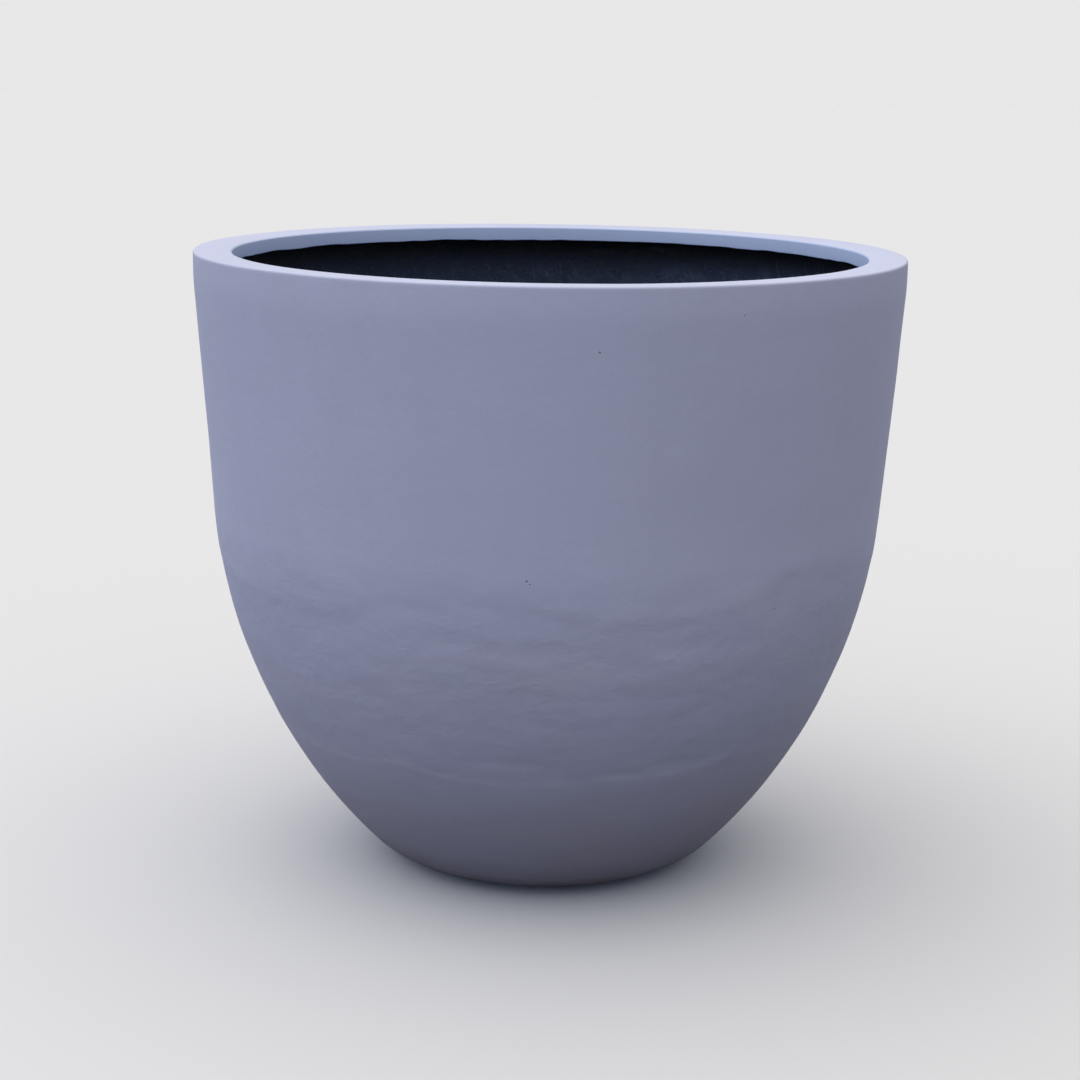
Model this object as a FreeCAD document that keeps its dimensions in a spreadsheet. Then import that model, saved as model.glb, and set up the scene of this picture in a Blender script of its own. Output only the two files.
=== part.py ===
"""Fibreglass floor planter: a hand-laid egg-shaped shell, a turned-in rim, a black lining and a drained base.

Millimetres, +Z up. The origin is on the ground under the centre of the base, level with the pads' undersides.
"""
import FreeCAD, Part
import math
import os
from types import SimpleNamespace

import Sketcher

SIZES = {
    # Outer skin, from the rim down to the base
    "overall_height": 970,
    "top_radius": 550,
    "band_height": 25,
    "bend_radius": 455,
    "wall_taper_angle": 4.18,
    "wall_foot_height": 578,
    "heel_radius": 110,
    "base_radius": 205,
    "shell_thickness": 5,
    "liner_thickness": 2.5,
    # Rim turned inward, with its apron
    "rim_width": 59,
    "rim_thickness": 8,
    "rim_fall": 2,
    "rim_edge_round": 3.5,
    "rim_corner_round": 4,
    "apron_depth": 23,
    "apron_thickness": 5,
    "apron_edge_round": 1.5,
    "bond_leg": 14,
    # Stiffened base
    "board_thickness": 12,
    "overlay_thickness": 3,
    "overlay_lap": 35,
    "overlay_margin": 12,
    "overlay_round": 4,
    # Drains
    "drain_count": 4,
    "drain_edge_distance": 58,
    "drain_bore_radius": 13,
    "sleeve_wall": 2.5,
    "sleeve_flange_width": 8,
    "sleeve_flange_thickness": 3,
    "sleeve_edge_round": 1,
    "glue_gap": 0.2,
    # Stoppers
    "plug_clearance": 0.3,
    "plug_taper": 1,
    "plug_length": 22,
    "plug_head_overlap": 5,
    "plug_head_thickness": 5,
    "plug_neck_radius": 5,
    "plug_neck_height": 6,
    "plug_knob_radius": 9,
    "plug_knob_height": 7,
    "plug_edge_round": 2,
    # Foot pads
    "pad_count": 6,
    "pad_radius": 30,
    "pad_thickness": 8,
    "pad_inset": 52,
    "pad_chamfer": 2,
}
RIGHT_ANGLE = 90
FULL_TURN = 360
EDGE_TOLERANCE = 0.001

# Sketcher numbers for the origin, the upright axis and the places on an element
ORIGIN, UPRIGHT_AXIS = range(-1, -3, -1)
START, END, CENTER = range(1, 4)


class Size:
    """A size as its number together with the sheet expression that drives it."""

    def __init__(self, text, value):
        self.text = text
        self.value = value

    def __add__(self, other):
        return Size(f"({self.text} + {other.text})", self.value + other.value)

    def __sub__(self, other):
        return Size(f"({self.text} - {other.text})", self.value - other.value)

    def __mul__(self, other):
        return Size(f"({self.text} * {other.text})", self.value * other.value)

    def __truediv__(self, other):
        return Size(f"({self.text} / {other.text})", self.value / other.value)

    def sin(self):
        return Size(f"sin({self.text} * 1 deg)", math.sin(math.radians(self.value)))

    def cos(self):
        return Size(f"cos({self.text} * 1 deg)", math.cos(math.radians(self.value)))


def number(value):
    """A fixed number, for use in a formula of sizes."""
    return Size(str(value), value)


AXIS = number(0)


def make_sheet(doc):
    """The sheet of driving sizes, and the same sizes for use in formulas."""
    sheet = doc.addObject("Spreadsheet::Sheet", "sizes")
    for row, (alias, value) in enumerate(SIZES.items(), start=1):
        sheet.set(f"A{row}", alias)
        sheet.set(f"B{row}", str(value))
        sheet.setAlias(f"B{row}", alias)
    doc.recompute()
    return SimpleNamespace(**{alias: Size(f"sizes.{alias}", sheet.get(alias)) for alias in SIZES})


def add_levels(s):
    """Heights and radii that several pieces share."""
    s.foot = s.pad_thickness
    s.floor = s.foot + s.shell_thickness + s.liner_thickness
    s.board_top = s.floor + s.board_thickness
    s.overlay_top = s.board_top + s.overlay_thickness
    s.flange_top = s.overlay_top + s.sleeve_flange_thickness
    s.rim_underside = s.overall_height - s.rim_thickness
    s.liner_radius = s.top_radius - s.shell_thickness - s.liner_thickness
    s.mouth_radius = s.top_radius - s.rim_width
    s.overlay_radius = s.base_radius - s.overlay_margin
    s.board_radius = s.overlay_radius - s.overlay_lap
    s.drain_circle = s.board_radius - s.drain_edge_distance
    s.sleeve_radius = s.drain_bore_radius + s.sleeve_wall
    s.drain_hole_radius = s.sleeve_radius + s.glue_gap
    s.pad_circle = s.base_radius - s.pad_inset


def origin_feature(body, role):
    """A plane or axis of the body's own origin."""
    return next(item for item in body.Origin.OriginFeatures if item.Role == role)


def new_sketch(body, name, plane):
    sketch = body.newObject("Sketcher::SketchObject", name)
    sketch.AttachmentSupport = [(origin_feature(body, plane), "")]
    sketch.MapMode = "FlatFace"
    return sketch


def drive(sketch, kind, *place, size):
    """Add a dimension that the sheet drives."""
    amount = math.radians(size.value) if kind == "Angle" else size.value
    index = sketch.addConstraint(Sketcher.Constraint(kind, *place, amount))
    sketch.setExpression(f"Constraints[{index}]", size.text)


def line(sketch, start, end):
    return sketch.addGeometry(Part.LineSegment(start, end))


def arc(sketch, center, radius, first, last):
    circle = Part.Circle(center, FreeCAD.Vector(0, 0, 1), radius)
    return sketch.addGeometry(Part.ArcOfCircle(circle, first, last))


def join(sketch, kind, first, first_place, second, second_place):
    sketch.addConstraint(Sketcher.Constraint(kind, first, first_place, second, second_place))


def on_axis(sketch, element, place):
    sketch.addConstraint(Sketcher.Constraint("PointOnObject", element, place, UPRIGHT_AXIS))


def polygon(body, name, corners):
    """A closed section in the XZ plane from corners given as (radius, height)."""
    sketch = new_sketch(body, name, "XZ_Plane")
    points = [FreeCAD.Vector(radius.value, height.value, 0) for radius, height in corners]
    sides = [line(sketch, point, after) for point, after in zip(points, points[1:] + points[:1])]
    for side, after in zip(sides, sides[1:] + sides[:1]):
        join(sketch, "Coincident", side, END, after, START)
    for side, (radius, height) in zip(sides, corners):
        if radius is AXIS:
            on_axis(sketch, side, START)
        else:
            drive(sketch, "DistanceX", ORIGIN, START, side, START, size=radius)
        drive(sketch, "DistanceY", ORIGIN, START, side, START, size=height)
    return sketch


def skin(sketch, s, inset):
    """One skin of the pot's wall, set in from the outside: base line, heel, belly, wall, bend and band."""
    taper = math.radians(s.wall_taper_angle.value)
    outward = FreeCAD.Vector(math.cos(taper), -math.sin(taper), 0)
    upward = FreeCAD.Vector(math.tan(taper), 1, 0)
    bend_center = FreeCAD.Vector(s.top_radius.value - s.bend_radius.value,
                                 s.overall_height.value - s.band_height.value, 0)
    heel_center = FreeCAD.Vector(s.base_radius.value, s.foot.value + s.heel_radius.value, 0)
    outer_top = bend_center + outward * s.bend_radius.value
    outer_foot = outer_top - upward * (outer_top.y - s.wall_foot_height.value)

    # The belly is the arc that touches the wall at its foot and the heel
    reach = outer_foot - heel_center
    spare_reach = reach.dot(outward) - s.heel_radius.value
    belly_radius = (reach.dot(reach) - s.heel_radius.value ** 2) / (2 * spare_reach)
    belly_center = outer_foot - outward * belly_radius
    toward_heel = heel_center - belly_center
    turn = math.atan2(toward_heel.y, toward_heel.x)

    base = s.foot + inset
    band_radius = s.top_radius - inset
    inward = outward * inset.value
    base_line = line(sketch, FreeCAD.Vector(0, base.value, 0), FreeCAD.Vector(heel_center.x, base.value, 0))
    heel = arc(sketch, heel_center, s.heel_radius.value - inset.value, -math.pi / 2, turn)
    belly = arc(sketch, belly_center, belly_radius - inset.value, turn, -taper)
    wall = line(sketch, outer_foot - inward, outer_top - inward)
    bend = arc(sketch, bend_center, s.bend_radius.value - inset.value, -taper, 0)
    band = line(sketch, FreeCAD.Vector(band_radius.value, bend_center.y, 0),
                FreeCAD.Vector(band_radius.value, s.rim_underside.value, 0))

    chain = [base_line, heel, belly, wall, bend, band]
    for element, after in zip(chain, chain[1:]):
        join(sketch, "Tangent", element, END, after, START)
    on_axis(sketch, base_line, START)
    sketch.addConstraint(Sketcher.Constraint("Horizontal", base_line))
    sketch.addConstraint(Sketcher.Constraint("Vertical", band))
    drive(sketch, "DistanceY", ORIGIN, START, base_line, START, size=base)
    drive(sketch, "DistanceX", ORIGIN, START, heel, CENTER, size=s.base_radius)
    drive(sketch, "Radius", heel, size=s.heel_radius - inset)
    drive(sketch, "DistanceY", ORIGIN, START, wall, START,
          size=s.wall_foot_height + inset * s.wall_taper_angle.sin())
    drive(sketch, "Angle", wall, size=number(RIGHT_ANGLE) - s.wall_taper_angle)
    drive(sketch, "Radius", bend, size=s.bend_radius - inset)
    drive(sketch, "DistanceY", ORIGIN, START, band, START, size=s.overall_height - s.band_height)
    drive(sketch, "DistanceX", ORIGIN, START, band, END, size=band_radius)
    drive(sketch, "DistanceY", ORIGIN, START, band, END, size=s.rim_underside)
    return base_line, band


def revolve(body, sketch, name):
    feature = body.newObject("PartDesign::Revolution", name)
    feature.Profile = sketch
    feature.ReferenceAxis = (sketch, ["V_Axis"])
    feature.Angle = FULL_TURN
    sketch.Document.recompute()
    return feature


def ring_edges(feature, radius, height):
    """Names of the round edges of a feature at one radius and height about its own axis."""
    names = []
    for index, edge in enumerate(feature.Shape.Edges, start=1):
        if not isinstance(edge.Curve, Part.Circle):
            continue
        off_radius = abs(edge.Curve.Radius - radius.value)
        off_height = abs(edge.Curve.Center.z - height.value)
        if max(off_radius, off_height) < EDGE_TOLERANCE:
            names.append(f"Edge{index}")
    return names


def soften(body, feature, kind, name, rings, size):
    """Round or chamfer the round edges of a feature that are given as (radius, height)."""
    edges = [edge for ring in rings for edge in ring_edges(feature, *ring)]
    if len(edges) != len(rings):
        raise RuntimeError(f"{body.Name}: {name} found {len(edges)} edges of {len(rings)}")
    softened = body.newObject(f"PartDesign::{kind}", name)
    softened.Base = (feature, edges)
    softened.setExpression("Radius" if kind == "Fillet" else "Size", size.text)
    body.Document.recompute()
    return softened


def drain_holes(body, s):
    """Holes right through a base piece for the drain sleeves."""
    solid_volume = body.Shape.Volume
    sketch = new_sketch(body, "drain_hole_sketch", "XY_Plane")
    center = FreeCAD.Vector(s.drain_circle.value, 0, 0)
    hole = sketch.addGeometry(Part.Circle(center, FreeCAD.Vector(0, 0, 1), s.drain_hole_radius.value))
    sketch.addConstraint(Sketcher.Constraint("PointOnObject", hole, CENTER, ORIGIN))
    drive(sketch, "DistanceX", ORIGIN, START, hole, CENTER, size=s.drain_circle)
    drive(sketch, "Radius", hole, size=s.drain_hole_radius)
    pocket = body.newObject("PartDesign::Pocket", "drain_hole")
    pocket.Profile = sketch
    pocket.Type = "ThroughAll"
    pocket.Midplane = True
    body.Document.recompute()
    pattern = body.newObject("PartDesign::PolarPattern", "drain_holes")
    pattern.Originals = [pocket]
    pattern.Axis = (origin_feature(body, "Z_Axis"), [""])
    pattern.Angle = FULL_TURN
    pattern.setExpression("Occurrences", s.drain_count.text)
    body.Tip = pattern
    body.Document.recompute()
    if body.Shape.Volume >= solid_volume:
        raise RuntimeError(f"{body.Name}: the drain holes cut nothing")


def wall_moulding(doc, s, name, inset, thickness):
    """A cup of even thickness that follows the pot's outline, with the drain holes in its base."""
    body = doc.addObject("PartDesign::Body", name)
    sketch = new_sketch(body, f"{name}_section", "XZ_Plane")
    outer_base, outer_band = skin(sketch, s, inset)
    inner_base, inner_band = skin(sketch, s, inset + thickness)
    axis_points = [sketch.getPoint(element, START) for element in (outer_base, inner_base)]
    top_points = [sketch.getPoint(element, END) for element in (outer_band, inner_band)]
    axis_side = line(sketch, *axis_points)
    top_side = line(sketch, *top_points)
    join(sketch, "Coincident", axis_side, START, outer_base, START)
    join(sketch, "Coincident", axis_side, END, inner_base, START)
    join(sketch, "Coincident", top_side, START, outer_band, END)
    join(sketch, "Coincident", top_side, END, inner_band, END)
    revolve(body, sketch, f"{name}_wall")
    drain_holes(body, s)
    return body


def outer_shell(doc, s):
    return wall_moulding(doc, s, "outer_shell", AXIS, s.shell_thickness)


def inner_liner(doc, s):
    return wall_moulding(doc, s, "inner_liner", s.shell_thickness, s.liner_thickness)


def rim_ring(doc, s):
    """The coping: a flat top that falls a little inward, turned down at the mouth as an apron."""
    body = doc.addObject("PartDesign::Body", "rim_ring")
    apron_back = s.mouth_radius + s.apron_thickness
    mouth_top = s.overall_height - s.rim_fall
    apron_foot = mouth_top - s.apron_depth
    section = polygon(body, "rim_section", [
        (s.top_radius, s.rim_underside),
        (s.top_radius, s.overall_height),
        (s.mouth_radius, mouth_top),
        (s.mouth_radius, apron_foot),
        (apron_back, apron_foot),
        (apron_back, s.rim_underside),
    ])
    ring = revolve(body, section, "rim")
    top_edges = [(s.top_radius, s.overall_height), (s.mouth_radius, mouth_top)]
    rounded = soften(body, ring, "Fillet", "rim_edges", top_edges, s.rim_edge_round)
    corner = [(apron_back, s.rim_underside)]
    rounded = soften(body, rounded, "Fillet", "rim_corner", corner, s.rim_corner_round)
    foot_edges = [(s.mouth_radius, apron_foot), (apron_back, apron_foot)]
    soften(body, rounded, "Fillet", "apron_edges", foot_edges, s.apron_edge_round)
    return body


def rim_bond(doc, s):
    """The bead of bonding paste in the corner between the rim's underside and the lining."""
    body = doc.addObject("PartDesign::Body", "rim_bond")
    section = polygon(body, "bond_section", [
        (s.liner_radius, s.rim_underside),
        (s.liner_radius - s.bond_leg, s.rim_underside),
        (s.liner_radius, s.rim_underside - s.bond_leg),
    ])
    revolve(body, section, "bead")
    return body


def base_board(doc, s):
    """The plywood disc bedded on the floor of the lining."""
    body = doc.addObject("PartDesign::Body", "base_board")
    section = polygon(body, "board_section", [
        (AXIS, s.floor),
        (s.board_radius, s.floor),
        (s.board_radius, s.board_top),
        (AXIS, s.board_top),
    ])
    revolve(body, section, "board")
    drain_holes(body, s)
    return body


def base_overlay(doc, s):
    """The laminate laid over the board, down its edge and out over the floor of the lining."""
    body = doc.addObject("PartDesign::Body", "base_overlay")
    skirt_radius = s.board_radius + s.overlay_thickness
    lap_top = s.floor + s.overlay_thickness
    section = polygon(body, "overlay_section", [
        (AXIS, s.board_top),
        (s.board_radius, s.board_top),
        (s.board_radius, s.floor),
        (s.overlay_radius, s.floor),
        (s.overlay_radius, lap_top),
        (skirt_radius, lap_top),
        (skirt_radius, s.overlay_top),
        (AXIS, s.overlay_top),
    ])
    cover = revolve(body, section, "cover")
    soften(body, cover, "Fillet", "cover_edge", [(skirt_radius, s.overlay_top)], s.overlay_round)
    drain_holes(body, s)
    return body


def set_on_circle(body, circle, count, index):
    """Move a piece made on the axis to its place on a circle of such pieces."""
    angle = number(FULL_TURN * index) / count
    body.setExpression("Placement.Base.x", (circle * angle.cos()).text)
    body.setExpression("Placement.Base.y", (circle * angle.sin()).text)


def drain_sleeve(doc, s, index):
    """A flanged sleeve that lines one drain hole, flush with the underside of the base."""
    body = doc.addObject("PartDesign::Body", f"drain_sleeve_{index + 1}")
    flange_radius = s.sleeve_radius + s.sleeve_flange_width
    section = polygon(body, "sleeve_section", [
        (s.drain_bore_radius, s.foot),
        (s.sleeve_radius, s.foot),
        (s.sleeve_radius, s.overlay_top),
        (flange_radius, s.overlay_top),
        (flange_radius, s.flange_top),
        (s.drain_bore_radius, s.flange_top),
    ])
    sleeve = revolve(body, section, "sleeve")
    soften(body, sleeve, "Fillet", "flange_edge", [(flange_radius, s.flange_top)], s.sleeve_edge_round)
    set_on_circle(body, s.drain_circle, s.drain_count, index)
    return body


def drain_plug(doc, s, index):
    """A rubber stopper: a tapered stem, a head that rests on the sleeve and a knob to pull it by."""
    body = doc.addObject("PartDesign::Body", f"drain_plug_{index + 1}")
    stem_radius = s.drain_bore_radius - s.plug_clearance
    tip_radius = stem_radius - s.plug_taper
    tip = s.flange_top - s.plug_length
    head_radius = s.drain_bore_radius + s.plug_head_overlap
    head_top = s.flange_top + s.plug_head_thickness
    knob_foot = head_top + s.plug_neck_height
    knob_top = knob_foot + s.plug_knob_height
    section = polygon(body, "plug_section", [
        (AXIS, tip),
        (tip_radius, tip),
        (stem_radius, s.flange_top),
        (head_radius, s.flange_top),
        (head_radius, head_top),
        (s.plug_neck_radius, head_top),
        (s.plug_neck_radius, knob_foot),
        (s.plug_knob_radius, knob_foot),
        (s.plug_knob_radius, knob_top),
        (AXIS, knob_top),
    ])
    plug = revolve(body, section, "plug")
    edges = [(tip_radius, tip), (head_radius, head_top), (s.plug_knob_radius, knob_foot),
             (s.plug_knob_radius, knob_top)]
    soften(body, plug, "Fillet", "plug_edges", edges, s.plug_edge_round)
    set_on_circle(body, s.drain_circle, s.drain_count, index)
    return body


def foot_pad(doc, s, index):
    """A rubber pad glued under the base."""
    body = doc.addObject("PartDesign::Body", f"foot_pad_{index + 1}")
    sketch = new_sketch(body, "pad_sketch", "XY_Plane")
    rim = sketch.addGeometry(Part.Circle(FreeCAD.Vector(), FreeCAD.Vector(0, 0, 1), s.pad_radius.value))
    join(sketch, "Coincident", rim, CENTER, ORIGIN, START)
    drive(sketch, "Radius", rim, size=s.pad_radius)
    pad = body.newObject("PartDesign::Pad", "pad")
    pad.Profile = sketch
    pad.setExpression("Length", s.pad_thickness.text)
    doc.recompute()
    soften(body, pad, "Chamfer", "pad_edge", [(s.pad_radius, AXIS)], s.pad_chamfer)
    set_on_circle(body, s.pad_circle, s.pad_count, index)
    return body


def check_document(doc, bodies):
    """Stop if any object failed or any piece is not one valid solid."""
    for item in doc.Objects:
        if "Invalid" in item.State or "Error" in item.State:
            raise RuntimeError(f"{item.Name} failed: {item.State}")
    for body in bodies:
        shape = body.Shape
        if shape.isNull() or not shape.isValid() or len(shape.Solids) != 1:
            raise RuntimeError(f"{body.Label} is not one valid solid")


def main():
    doc = FreeCAD.newDocument("fibreglass_planter")
    s = make_sheet(doc)
    add_levels(s)
    single_pieces = (outer_shell, inner_liner, rim_ring, rim_bond, base_board, base_overlay)
    bodies = [make(doc, s) for make in single_pieces]
    for index in range(round(s.drain_count.value)):
        bodies.append(drain_sleeve(doc, s, index))
        bodies.append(drain_plug(doc, s, index))
    for index in range(round(s.pad_count.value)):
        bodies.append(foot_pad(doc, s, index))
    doc.recompute()
    check_document(doc, bodies)
    os.makedirs("parts", exist_ok=True)
    for body in bodies:
        body.Shape.exportStep(f"parts/{body.Label}.step")
        print(f"{body.Label}: {body.Shape.Volume / 1000:.1f} cm3")


main()
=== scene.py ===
"""Looks of the fibreglass floor planter: a hand-faired painted shell with a turned-in rim and a black lining.

Metres, +Z up, with the front of the pot toward -Y. Angles round the pot run from the front toward +X.
"""
import math

import bpy
from mathutils import Matrix, Vector


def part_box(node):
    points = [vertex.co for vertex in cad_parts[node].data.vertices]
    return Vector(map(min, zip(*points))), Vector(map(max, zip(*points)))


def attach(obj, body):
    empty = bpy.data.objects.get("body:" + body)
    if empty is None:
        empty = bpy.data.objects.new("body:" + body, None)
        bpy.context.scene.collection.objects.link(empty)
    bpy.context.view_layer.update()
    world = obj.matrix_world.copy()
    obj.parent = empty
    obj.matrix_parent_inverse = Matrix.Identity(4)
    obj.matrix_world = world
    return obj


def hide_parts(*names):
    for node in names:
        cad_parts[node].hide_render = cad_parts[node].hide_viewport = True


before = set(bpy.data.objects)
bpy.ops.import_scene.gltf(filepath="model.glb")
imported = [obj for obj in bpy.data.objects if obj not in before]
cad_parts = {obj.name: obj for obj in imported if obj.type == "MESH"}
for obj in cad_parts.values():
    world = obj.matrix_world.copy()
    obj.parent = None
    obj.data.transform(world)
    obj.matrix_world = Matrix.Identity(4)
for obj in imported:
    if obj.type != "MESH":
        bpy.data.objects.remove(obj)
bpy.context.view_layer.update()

# Outline of the pot
TOP_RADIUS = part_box("rim_ring")[1].y
OVERALL_HEIGHT = 0.97
BAND_HEIGHT = 0.025
BEND_RADIUS = 0.455
WALL_TAPER = math.radians(4.18)
WALL_FOOT = 0.578
HEEL_RADIUS = 0.11
BASE_RADIUS = 0.205
SHELL_THICKNESS = 0.005
LINER_THICKNESS = 0.0025
FOOT, RIM_UNDERSIDE = (corner.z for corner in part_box("outer_shell"))
LINER_FLOOR = FOOT + SHELL_THICKNESS + LINER_THICKNESS
LINER_RADIUS = TOP_RADIUS - SHELL_THICKNESS - LINER_THICKNESS

# Rim
RIM_WIDTH = 0.059
RIM_FALL = 0.002
RIM_EDGE_ROUND = 0.0035
RIM_CORNER_ROUND = 0.004
MOUTH_RADIUS = TOP_RADIUS - RIM_WIDTH
APRON_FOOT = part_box("rim_ring")[0].z
APRON_THICKNESS = 0.005
APRON_EDGE_ROUND = 0.0015
APRON_TRIM_TOP = OVERALL_HEIGHT - RIM_FALL - 0.011
BEAD_LEG = 0.014

# Base, drains and pads
BOARD_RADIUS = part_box("base_board")[1].x
BOARD_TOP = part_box("base_board")[1].z
OVERLAY_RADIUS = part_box("base_overlay")[1].x
OVERLAY_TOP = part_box("base_overlay")[1].z
OVERLAY_THICKNESS = OVERLAY_TOP - BOARD_TOP
DRAIN_COUNT = 4
DRAIN_CIRCLE = 0.1
DRAIN_BORE = 0.013
SLEEVE_RADIUS = 0.0155
DRAIN_HOLE = 0.0157
FLANGE_RADIUS = 0.0235
FLANGE_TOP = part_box("drain_sleeve_1")[1].z
PLUG_TIP, PLUG_TOP = (corner.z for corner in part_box("drain_plug_1"))
PLUG_CLEARANCE = 0.0003
PLUG_TAPER = 0.001
PLUG_HEAD_RADIUS = 0.018
PLUG_HEAD_THICKNESS = 0.005
NECK_RADIUS = 0.005
KNOB_RADIUS = 0.009
KNOB_HEIGHT = 0.007
PAD_COUNT = 6
PAD_CIRCLE = 0.153
PAD_RADIUS = 0.03

# How finely the pieces are turned: steps round the pot, in equal sectors
WALL_STEPS = 384
BASE_STEPS = 256
BEAD_STEPS = 288
SMALL_STEPS = 96
SECTORS = 16
MERGE_DISTANCE = 2e-5
CREASE = math.radians(35)

# Hand-faired lines on the outside, each point as angle in degrees, height and strength
UPPER_FOLD = [
    (-180, 0.505, 0.5), (-150, 0.518, 0.7), (-118, 0.492, 0.4), (-92, 0.509, 0.7), (-66, 0.484, 0.6),
    (-44.8, 0.478, 0.9), (-33.3, 0.489, 0.9), (-24.6, 0.521, 0.6), (-17.9, 0.514, 0.7), (-13.1, 0.509, 0.6),
    (-8.4, 0.523, 0.5), (-2.3, 0.515, 0.6), (2.3, 0.507, 0.6), (10, 0.491, 0.9), (17.3, 0.488, 1),
    (25.7, 0.496, 1), (31.1, 0.5, 0.8), (37.8, 0.519, 0.7), (42.9, 0.544, 0.6), (58, 0.53, 0.3),
    (84, 0.496, 0.7), (110, 0.512, 0.5), (142, 0.488, 0.8), (180, 0.505, 0.5),
]
LOWER_STEP = [
    (-180, 0.25, 0.5), (-140, 0.262, 0.8), (-104, 0.244, 0.4), (-76, 0.252, 0.7), (-51.3, 0.245, 0.8),
    (-40.2, 0.246, 0.9), (-28.4, 0.257, 0.7), (-16.2, 0.241, 0.9), (-2.4, 0.24, 1), (12, 0.248, 0.8),
    (28.5, 0.251, 0.9), (38.7, 0.263, 0.7), (47.1, 0.265, 0.6), (75, 0.247, 0.4), (112, 0.259, 0.8),
    (150, 0.241, 0.5), (180, 0.25, 0.5),
]

# Shallow hollows on the outside: angle in degrees, height, width in degrees, tallness, depth
HOLLOWS = [
    (-39, 0.462, 9, 0.026, 0.9), (-16, 0.468, 7, 0.014, 0.6), (-4, 0.455, 10, 0.016, 0.9),
    (8, 0.443, 6, 0.014, 0.7), (26, 0.458, 8, 0.016, 0.8), (15, 0.39, 4, 0.01, 0.6),
    (21, 0.376, 5, 0.012, 0.6), (-7, 0.275, 6, 0.009, 0.9), (14.7, 0.257, 4, 0.008, 1),
    (26.6, 0.268, 7, 0.009, 0.8), (-30, 0.36, 8, 0.02, 0.5), (-62, 0.44, 9, 0.02, 0.6),
    (70, 0.45, 8, 0.018, 0.7), (95, 0.41, 10, 0.02, 0.6), (128, 0.46, 7, 0.015, 0.8),
    (165, 0.43, 9, 0.02, 0.7), (-168, 0.4, 7, 0.016, 0.7), (-135, 0.45, 10, 0.018, 0.8),
    (-100, 0.43, 8, 0.02, 0.6),
]


# Modelling helpers

def apart(first, last, count):
    """Evenly spaced values from first to last."""
    return [first + (last - first) * index / count for index in range(count + 1)]


def arc(centre, radius, first, last, step):
    """Points along an arc, about a step apart."""
    count = max(2, round(abs(last - first) * radius / step))
    return [centre + radius * Vector((math.cos(turn), math.sin(turn))) for turn in apart(first, last, count)]


def straight(start, end, step):
    """Points along a straight line, about a step apart."""
    count = max(1, round((end - start).length / step))
    return [start.lerp(end, share) for share in apart(0, 1, count)]


def wall_line(inset, step):
    """One skin of the wall, set in from the outside, from the pot's axis up to the rim's underside."""
    outward = Vector((math.cos(WALL_TAPER), -math.sin(WALL_TAPER)))
    bend_centre = Vector((TOP_RADIUS - BEND_RADIUS, OVERALL_HEIGHT - BAND_HEIGHT))
    heel_centre = Vector((BASE_RADIUS, FOOT + HEEL_RADIUS))
    wall_top = bend_centre + outward * BEND_RADIUS
    wall_foot = wall_top - Vector((math.tan(WALL_TAPER), 1)) * (wall_top.y - WALL_FOOT)
    reach = wall_foot - heel_centre
    belly_radius = (reach.length_squared - HEEL_RADIUS ** 2) / (2 * (reach.dot(outward) - HEEL_RADIUS))
    belly_centre = wall_foot - outward * belly_radius
    toward_heel = heel_centre - belly_centre
    turn = math.atan2(toward_heel.y, toward_heel.x)
    base = FOOT + inset
    points = [Vector((radius, base)) for radius in (0, 0.07, 0.13)]
    points += arc(heel_centre, HEEL_RADIUS - inset, -math.pi / 2, turn, step)
    points += arc(belly_centre, belly_radius - inset, turn, -WALL_TAPER, step)[1:]
    points += straight(points[-1], wall_top - outward * inset, step * 1.6)[1:]
    points += arc(bend_centre, BEND_RADIUS - inset, -WALL_TAPER, 0, step * 1.6)[1:]
    points += straight(points[-1], Vector((TOP_RADIUS - inset, RIM_UNDERSIDE)), step * 1.6)[1:]
    return points


def rounded(corners, count=6):
    """A section through corners given as (radius, height, rounding), with each rounding drawn as an arc."""
    points = []
    for before, corner, after in zip(corners[-1:] + corners[:-1], corners, corners[1:] + corners[:1]):
        here = Vector(corner[:2])
        rounding = corner[2]
        if not rounding:
            points.append(here)
            continue
        back = (Vector(before[:2]) - here).normalized()
        ahead = (Vector(after[:2]) - here).normalized()
        half = back.angle(ahead) / 2
        centre = here + (back + ahead).normalized() * (rounding / math.sin(half))
        tangent = rounding / math.tan(half)
        start = here + back * tangent - centre
        end = here + ahead * tangent - centre
        first = math.atan2(start.y, start.x)
        swing = math.atan2(start.x * end.y - start.y * end.x, start.dot(end))
        points += [centre + rounding * Vector((math.cos(first + part), math.sin(first + part)))
                   for part in apart(0, swing, count)]
    return points


def make_active(piece):
    bpy.ops.object.select_all(action="DESELECT")
    piece.select_set(True)
    bpy.context.view_layer.objects.active = piece


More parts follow.
